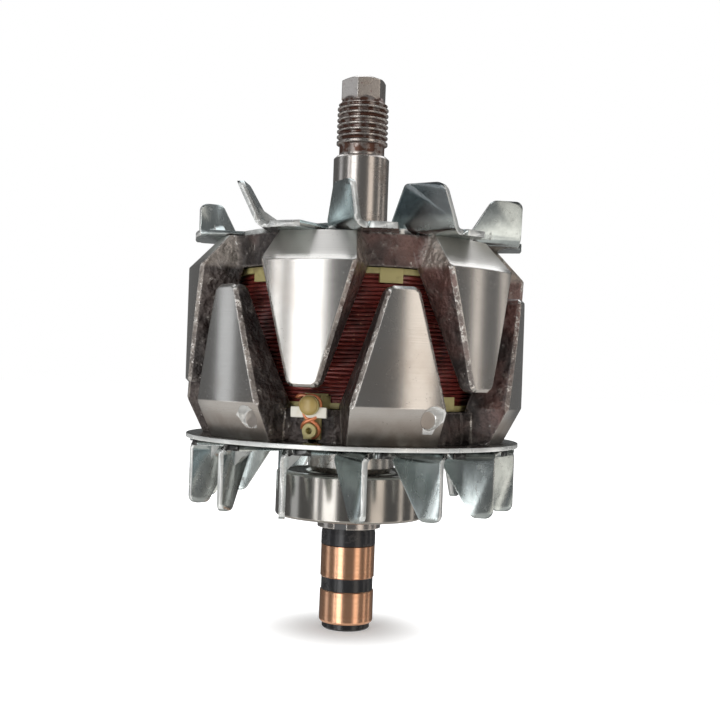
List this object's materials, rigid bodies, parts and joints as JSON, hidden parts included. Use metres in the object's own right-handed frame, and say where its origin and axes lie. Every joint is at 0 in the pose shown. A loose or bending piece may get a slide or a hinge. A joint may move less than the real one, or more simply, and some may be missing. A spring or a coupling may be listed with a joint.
{
  "type": "alternator rotor",
  "caption": "Claw-pole rotor with field winding, sheet fans at both ends, copper slip rings and a sealed ball bearing that turns on its shaft",
  "frame": {"origin": "on the shaft axis, at the flat end of the slip-ring moulding that the rotor stands on", "axes": "+Z along the shaft to the drive end, +X through the middle of one claw of the drive-end pole"},
  "size_m": [0.09, 0.0904, 0.148],
  "materials": {
    "turned_steel": "turned, with faint tool lines and a little rust",
    "forged_steel": "turned outside faces, rough forged flanks with dark varnish",
    "zinc_sheet": "bright zinc plate with a blue-green tint",
    "enamelled_copper": "red-brown enamel over copper wire",
    "sleeving": "woven insulating sleeve",
    "bobbin_nylon": "moulded, satin",
    "black_moulding": "moulded, satin",
    "ring_copper": "turned, bright",
    "bearing_steel": "ground and polished",
    "cage_steel": "pressed sheet, dull",
    "seal_rubber": "moulded, dull"
  },
  "bodies": {
    "rotor": {"shaft": "turned_steel", "rear_spacer": "turned_steel", "pole_core": "forged_steel", "front_pole": "forged_steel", "rear_pole": "forged_steel", "front_fan": "zinc_sheet", "rear_fan": "zinc_sheet", "rear_fan_disc": "zinc_sheet", "field_coil": "enamelled_copper", "coil_lead_start": "enamelled_copper", "coil_lead_end": "enamelled_copper", "lead_sleeve_start": "sleeving", "lead_sleeve_end": "sleeving", "bobbin": "bobbin_nylon", "slip_ring_body": "black_moulding", "outer_slip_ring": "ring_copper", "inner_slip_ring": "ring_copper", "slip_ring_bar_outer": "ring_copper", "slip_ring_bar_inner": "ring_copper", "bearing_inner_ring": "bearing_steel"},
    "bearing_outer": {"bearing_outer_ring": "bearing_steel", "bearing_seal_front": "seal_rubber", "bearing_seal_rear": "seal_rubber"},
    "ball_train": {"bearing_balls": "bearing_steel", "bearing_cage_front": "cage_steel", "bearing_cage_rear": "cage_steel", "bearing_cage_rivets": "cage_steel"}
  },
  "joints": [
    {"name": "bearing_turn", "type": "hinge", "parent": "rotor", "child": "bearing_outer", "pos_m": [0, 0, 0.0362], "axis": [0, 0, 1], "continuous": true},
    {"name": "ball_train_turn", "type": "hinge", "parent": "rotor", "child": "ball_train", "pos_m": [0, 0, 0.0362], "axis": [0, 0, 1], "continuous": true}
  ],
  "couplings": [
    {"joint": "ball_train_turn", "follows": "bearing_turn", "ratio": 0.618}
  ]
}
